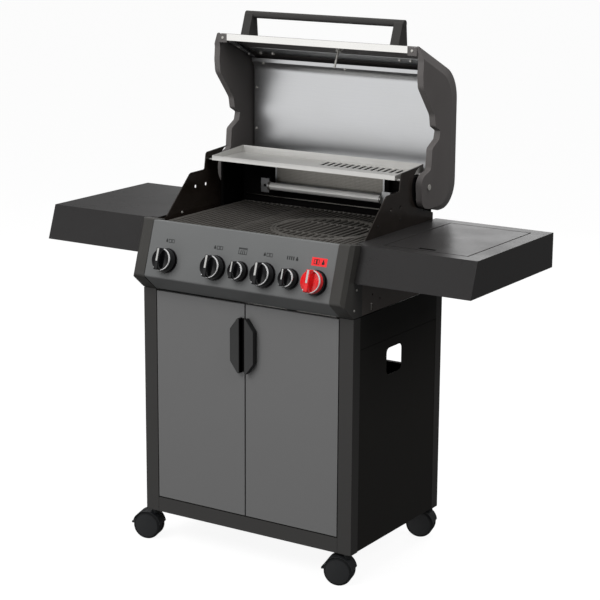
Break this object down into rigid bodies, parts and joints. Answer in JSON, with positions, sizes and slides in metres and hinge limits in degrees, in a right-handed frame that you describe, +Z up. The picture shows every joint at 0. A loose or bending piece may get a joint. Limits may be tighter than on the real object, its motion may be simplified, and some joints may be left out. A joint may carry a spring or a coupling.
{
  "type": "gas barbecue grill",
  "caption": "Gas barbecue grill on a two-door cart with a tilting hood, side shelves, a side burner and swivel casters.",
  "frame": {"origin": "centre of the footprint of the whole grill with its hood open, on the ground", "axes": "+X to the cook's right, +Y to the back of the grill, +Z up"},
  "size_m": [1.36, 0.659, 1.48],
  "materials": {
    "frame_paint": "satin charcoal powder coat",
    "panel_paint": "satin black powder coat",
    "firebox_enamel": "glossy dark enamel",
    "fascia_paint": "satin grey powder coat",
    "cap_plastic": "moulded charcoal",
    "knob_plastic": "gloss black",
    "knob_red": "gloss red",
    "brass_fittings": "turned",
    "burner_steel": "formed stainless sheet",
    "shelf_paint": "satin charcoal powder coat",
    "fastener_steel": "bright plated",
    "caster_plastic": "moulded nylon",
    "wheel_rubber": "soft tread",
    "grate_iron": "matte enamelled",
    "liner_steel": "brushed",
    "door_paint": "satin grey powder coat",
    "pull_plastic": "moulded black",
    "hood_paint": "textured charcoal powder coat",
    "handle_paint": "satin black"
  },
  "bodies": {
    "cart": {"floor_panel": "frame_paint", "corner_posts": "frame_paint", "side_panel_left": "panel_paint", "side_panel_right": "panel_paint", "back_panel": "panel_paint", "firebox": "firebox_enamel", "side_plates": "firebox_enamel", "shelf_brackets": "frame_paint", "control_panel": "fascia_paint", "panel_end_caps": "cap_plastic", "knob_bezels": "knob_plastic", "gas_manifold": "brass_fittings", "main_burners": "burner_steel", "back_burner": "burner_steel", "shelf_left": "shelf_paint", "shelf_right": "shelf_paint", "side_burner": "burner_steel", "hinge_pins": "fastener_steel", "caster_sockets": "caster_plastic"},
    "hood": {"hood_skin": "hood_paint", "hood_caps": "hood_paint", "hood_liner": "liner_steel", "hood_rim": "liner_steel", "hood_handle": "handle_paint", "thermometer": "fastener_steel"},
    "door_l": {"door_left": "door_paint", "door_pull_left": "pull_plastic"},
    "door_r": {"door_right": "door_paint", "door_pull_right": "pull_plastic"},
    "burner_lid": {"side_burner_lid": "shelf_paint"},
    "grate_left_body": {"grate_left": "grate_iron"},
    "grate_right_body": {"grate_right": "grate_iron"},
    "grate_insert_body": {"grate_insert": "grate_iron"},
    "warming_rack_body": {"warming_rack": "liner_steel"},
    "flame_tamers_body": {"flame_tamers": "burner_steel"},
    "grease_tray_body": {"grease_tray": "burner_steel"},
    "drip_cup_body": {"drip_cup": "burner_steel"},
    "spindle_1_body": {"spindle_1": "fastener_steel"},
    "knob_1_body": {"knob_1": "knob_plastic"},
    "spindle_2_body": {"spindle_2": "fastener_steel"},
    "knob_2_body": {"knob_2": "knob_plastic"},
    "spindle_3_body": {"spindle_3": "fastener_steel"},
    "knob_3_body": {"knob_3": "knob_plastic"},
    "spindle_4_body": {"spindle_4": "fastener_steel"},
    "knob_4_body": {"knob_4": "knob_plastic"},
    "spindle_5_body": {"spindle_5": "fastener_steel"},
    "knob_5_body": {"knob_5": "knob_plastic"},
    "spindle_6_body": {"spindle_6": "fastener_steel"},
    "knob_6_body": {"knob_6": "knob_red"},
    "caster_fl": {"caster_fork_fl": "caster_plastic"},
    "wheels_fl": {"caster_wheels_fl": "wheel_rubber"},
    "brake_fl": {"brake_lever_fl": "caster_plastic"},
    "caster_fr": {"caster_fork_fr": "caster_plastic"},
    "wheels_fr": {"caster_wheels_fr": "wheel_rubber"},
    "brake_fr": {"brake_lever_fr": "caster_plastic"},
    "caster_rl": {"caster_fork_rl": "caster_plastic"},
    "wheels_rl": {"caster_wheels_rl": "wheel_rubber"},
    "caster_rr": {"caster_fork_rr": "caster_plastic"},
    "wheels_rr": {"caster_wheels_rr": "wheel_rubber"}
  },
  "joints": [
    {"name": "hood_hinge", "type": "hinge", "parent": "cart", "child": "hood", "pos_m": [0, 0.15049, 1.032], "axis": [1, 0, 0], "range_deg": [0, 96]},
    {"name": "door_left_hinge", "type": "hinge", "parent": "cart", "child": "door_l", "pos_m": [-0.2905, -0.23151, 0.435], "axis": [0, 0, -1], "range_deg": [0, 110]},
    {"name": "door_right_hinge", "type": "hinge", "parent": "cart", "child": "door_r", "pos_m": [0.2905, -0.23151, 0.435], "axis": [0, 0, 1], "range_deg": [0, 110]},
    {"name": "burner_lid_hinge", "type": "hinge", "parent": "cart", "child": "burner_lid", "pos_m": [0.51, 0.18249, 0.925], "axis": [-1, 0, 0], "range_deg": [0, 95]},
    {"name": "grate_left_lift", "type": "slide", "parent": "cart", "child": "grate_left_body", "axis": [0, 0, 1], "range_m": [0, 0.015]},
    {"name": "grate_right_lift", "type": "slide", "parent": "cart", "child": "grate_right_body", "axis": [0, 0, 1], "range_m": [0, 0.015]},
    {"name": "warming_rack_lift", "type": "slide", "parent": "cart", "child": "warming_rack_body", "axis": [0, 0, 1], "range_m": [0, 0.035]},
    {"name": "flame_tamers_lift", "type": "slide", "parent": "cart", "child": "flame_tamers_body", "axis": [0, 0, 1], "range_m": [0, 0.02]},
    {"name": "grate_insert_lift", "type": "slide", "parent": "grate_right_body", "child": "grate_insert_body", "axis": [0, 0, 1], "range_m": [0, 0.04]},
    {"name": "grease_tray_slide", "type": "slide", "parent": "cart", "child": "grease_tray_body", "axis": [0, 1, 0], "range_m": [0, 0.36]},
    {"name": "drip_cup_unhook", "type": "slide", "parent": "grease_tray_body", "child": "drip_cup_body", "axis": [0, 0, -1], "range_m": [0, 0.08]},
    {"name": "knob_1_turn", "type": "hinge", "parent": "cart", "child": "spindle_1_body", "pos_m": [-0.232, -0.27473, 0.83376], "axis": [0, -0.9511, 0.309], "range_deg": [0, 180]},
    {"name": "knob_1_push", "type": "slide", "parent": "spindle_1_body", "child": "knob_1_body", "axis": [0, 0.9511, -0.309], "range_m": [0, 0.003], "stiffness_N_per_m": 1500, "springref_m": -0.002},
    {"name": "knob_2_turn", "type": "hinge", "parent": "cart", "child": "spindle_2_body", "pos_m": [-0.072, -0.27473, 0.83376], "axis": [0, -0.9511, 0.309], "range_deg": [0, 180]},
    {"name": "knob_2_push", "type": "slide", "parent": "spindle_2_body", "child": "knob_2_body", "axis": [0, 0.9511, -0.309], "range_m": [0, 0.003], "stiffness_N_per_m": 1500, "springref_m": -0.002},
    {"name": "knob_3_turn", "type": "hinge", "parent": "cart", "child": "spindle_3_body", "pos_m": [0.008, -0.27473, 0.83376], "axis": [0, -0.9511, 0.309], "range_deg": [0, 90]},
    {"name": "knob_3_push", "type": "slide", "parent": "spindle_3_body", "child": "knob_3_body", "axis": [0, 0.9511, -0.309], "range_m": [0, 0.003], "stiffness_N_per_m": 1500, "springref_m": -0.002},
    {"name": "knob_4_turn", "type": "hinge", "parent": "cart", "child": "spindle_4_body", "pos_m": [0.088, -0.27473, 0.83376], "axis": [0, -0.9511, 0.309], "range_deg": [0, 180]},
    {"name": "knob_4_push", "type": "slide", "parent": "spindle_4_body", "child": "knob_4_body", "axis": [0, 0.9511, -0.309], "range_m": [0, 0.003], "stiffness_N_per_m": 1500, "springref_m": -0.002},
    {"name": "knob_5_turn", "type": "hinge", "parent": "cart", "child": "spindle_5_body", "pos_m": [0.168, -0.27473, 0.83376], "axis": [0, -0.9511, 0.309], "range_deg": [0, 90]},
    {"name": "knob_5_push", "type": "slide", "parent": "spindle_5_body", "child": "knob_5_body", "axis": [0, 0.9511, -0.309], "range_m": [0, 0.003], "stiffness_N_per_m": 1500, "springref_m": -0.002},
    {"name": "knob_6_turn", "type": "hinge", "parent": "cart", "child": "spindle_6_body", "pos_m": [0.248, -0.27473, 0.83376], "axis": [0, -0.9511, 0.309], "range_deg": [0, 180]},
    {"name": "knob_6_push", "type": "slide", "parent": "spindle_6_body", "child": "knob_6_body", "axis": [0, 0.9511, -0.309], "range_m": [0, 0.003], "stiffness_N_per_m": 1500, "springref_m": -0.002},
    {"name": "caster_fl_swivel", "type": "hinge", "parent": "cart", "child": "caster_fl", "pos_m": [-0.321, -0.21901, 0.089], "axis": [0, 0, 1], "continuous": true},
    {"name": "wheels_fl_roll", "type": "hinge", "parent": "caster_fl", "child": "wheels_fl", "pos_m": [-0.34225, -0.2247, 0.04], "axis": [0.2588, -0.9659, 0], "continuous": true},
    {"name": "brake_fl_press", "type": "hinge", "parent": "caster_fl", "child": "brake_fl", "pos_m": [-0.3693, -0.23195, 0.043], "axis": [0.2588, -0.9659, 0], "range_deg": [0, 12]},
    {"name": "caster_fr_swivel", "type": "hinge", "parent": "cart", "child": "caster_fr", "pos_m": [0.321, -0.21901, 0.089], "axis": [0, 0, 1], "continuous": true},
    {"name": "wheels_fr_roll", "type": "hinge", "parent": "caster_fr", "child": "wheels_fr", "pos_m": [0.29975, -0.2247, 0.04], "axis": [0.2588, -0.9659, 0], "continuous": true},
    {"name": "brake_fr_press", "type": "hinge", "parent": "caster_fr", "child": "brake_fr", "pos_m": [0.2727, -0.23195, 0.043], "axis": [0.2588, -0.9659, 0], "range_deg": [0, 12]},
    {"name": "caster_rl_swivel", "type": "hinge", "parent": "cart", "child": "caster_rl", "pos_m": [-0.323, 0.22499, 0.089], "axis": [0, 0, 1], "continuous": true},
    {"name": "wheels_rl_roll", "type": "hinge", "parent": "caster_rl", "child": "wheels_rl", "pos_m": [-0.34425, 0.2193, 0.04], "axis": [0.2588, -0.9659, 0], "continuous": true},
    {"name": "caster_rr_swivel", "type": "hinge", "parent": "cart", "child": "caster_rr", "pos_m": [0.323, 0.22499, 0.089], "axis": [0, 0, 1], "continuous": true},
    {"name": "wheels_rr_roll", "type": "hinge", "parent": "caster_rr", "child": "wheels_rr", "pos_m": [0.30175, 0.2193, 0.04], "axis": [0.2588, -0.9659, 0], "continuous": true}
  ]
}
